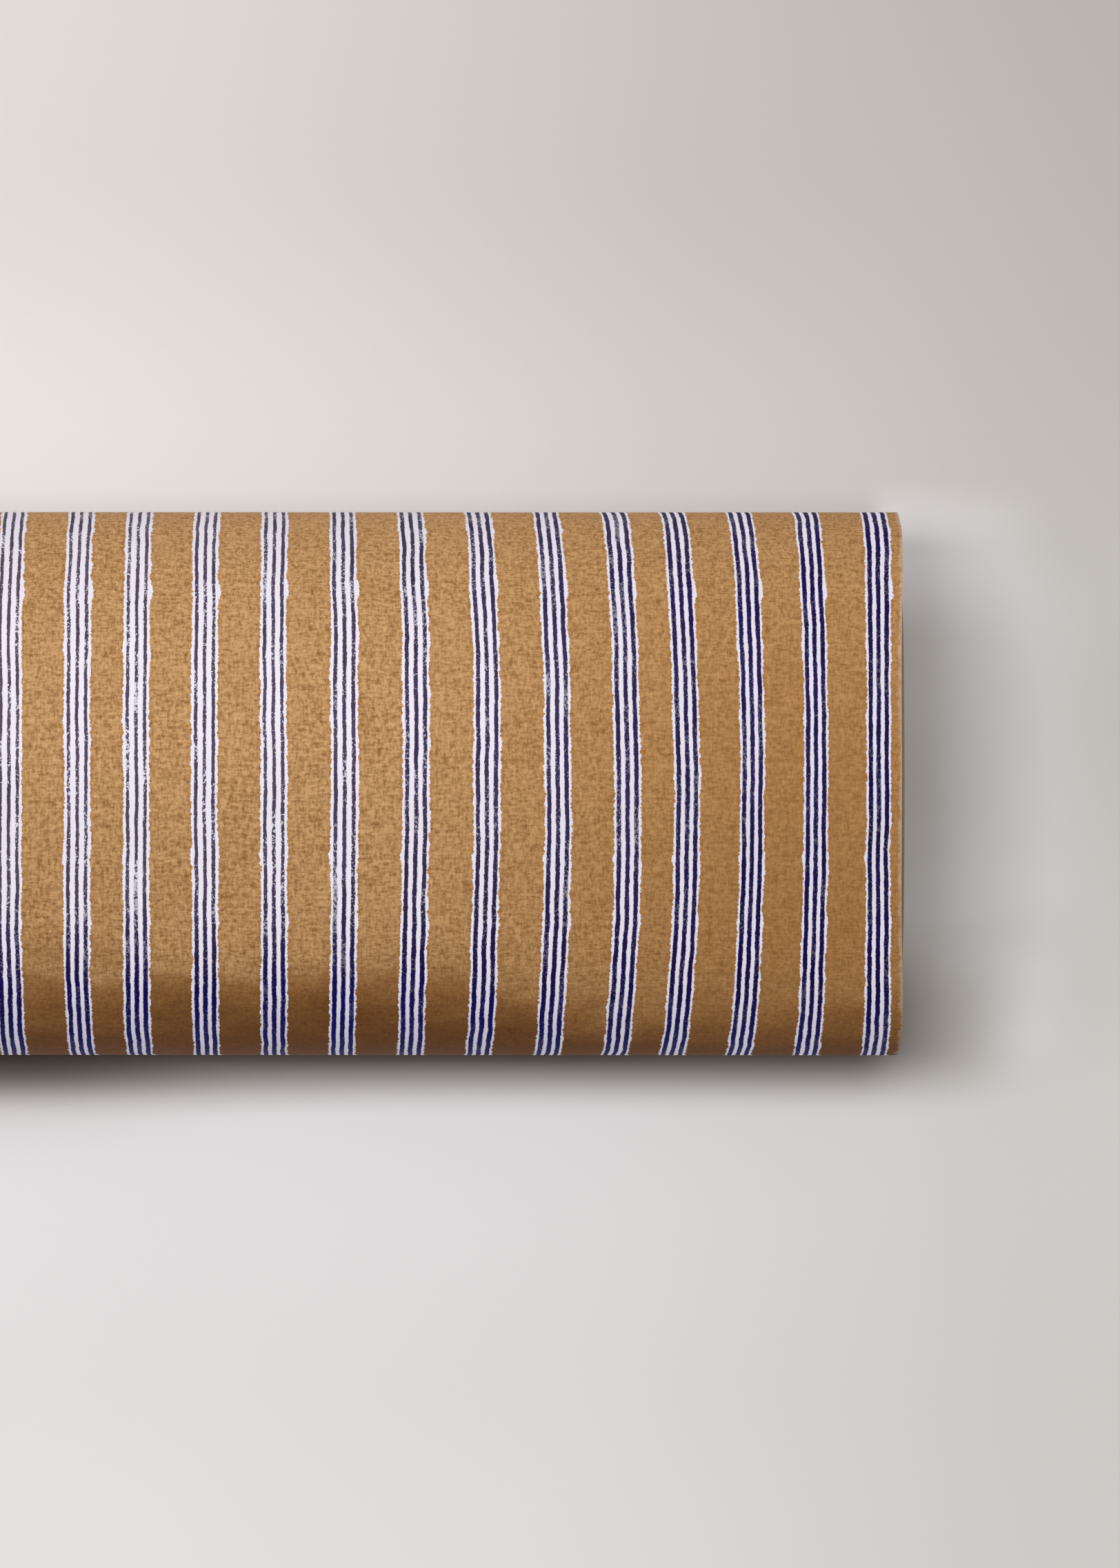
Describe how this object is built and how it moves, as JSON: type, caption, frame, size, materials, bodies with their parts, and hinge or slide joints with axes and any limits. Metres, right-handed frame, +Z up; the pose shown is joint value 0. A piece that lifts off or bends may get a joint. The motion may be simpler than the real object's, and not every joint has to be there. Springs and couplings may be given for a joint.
{
  "type": "wrapping paper roll",
  "caption": "Roll of striped gift-wrap paper on a spiral-wound board core, closed with clear tape, whose outer turn unrolls.",
  "frame": {"origin": "on the surface that the roll lies on, under the middle of its length", "axes": "+X along the roll's axis, +Z up, -Y towards the person who unrolls it"},
  "size_m": [0.7, 0.05, 0.0498],
  "materials": {
    "printed_paper": "satin",
    "core_board": "matte",
    "clear_tape": "gloss"
  },
  "bodies": {
    "roll": {"wound_sheet": "printed_paper"},
    "core": {"core_outer_liner": "core_board", "core_body": "core_board", "core_inner_liner": "core_board"},
    "turn_1": {"outer_turn_1": "printed_paper"},
    "turn_2": {"outer_turn_2": "printed_paper"},
    "turn_3": {"outer_turn_3": "printed_paper"},
    "turn_4": {"outer_turn_4": "printed_paper"},
    "turn_5": {"outer_turn_5": "printed_paper"},
    "turn_6": {"outer_turn_6": "printed_paper"},
    "turn_7": {"outer_turn_7": "printed_paper", "closing_tape_left": "clear_tape", "closing_tape_middle": "clear_tape", "closing_tape_right": "clear_tape"}
  },
  "joints": [
    {"name": "unroll", "type": "hinge", "parent": "roll", "child": "turn_1", "pos_m": [0, -0.01057, 0.00211], "axis": [1, 0, 0], "range_deg": [0, 45]},
    {"name": "bend_2", "type": "hinge", "parent": "turn_1", "child": "turn_2", "pos_m": [0, -0.02266, 0.01421], "axis": [1, 0, 0], "range_deg": [0, 36]},
    {"name": "bend_3", "type": "hinge", "parent": "turn_2", "child": "turn_3", "pos_m": [0, -0.02415, 0.03124], "axis": [1, 0, 0], "range_deg": [0, 36]},
    {"name": "bend_4", "type": "hinge", "parent": "turn_3", "child": "turn_4", "pos_m": [0, -0.01434, 0.04525], "axis": [1, 0, 0], "range_deg": [0, 36]},
    {"name": "bend_5", "type": "hinge", "parent": "turn_4", "child": "turn_5", "pos_m": [0, 0.00218, 0.04968], "axis": [1, 0, 0], "range_deg": [0, 36]},
    {"name": "bend_6", "type": "hinge", "parent": "turn_5", "child": "turn_6", "pos_m": [0, 0.01768, 0.04245], "axis": [1, 0, 0], "range_deg": [0, 36]},
    {"name": "bend_7", "type": "hinge", "parent": "turn_6", "child": "turn_7", "pos_m": [0, 0.0249, 0.02695], "axis": [1, 0, 0], "range_deg": [0, 36]},
    {"name": "core_slide", "type": "slide", "parent": "roll", "child": "core", "axis": [1, 0, 0], "range_m": [-0.6, 0.6]}
  ],
  "couplings": [
    {"joint": "bend_2", "follows": "unroll", "ratio": 0.8},
    {"joint": "bend_3", "follows": "unroll", "ratio": 0.8},
    {"joint": "bend_4", "follows": "unroll", "ratio": 0.8},
    {"joint": "bend_5", "follows": "unroll", "ratio": 0.8},
    {"joint": "bend_6", "follows": "unroll", "ratio": 0.8},
    {"joint": "bend_7", "follows": "unroll", "ratio": 0.8}
  ]
}
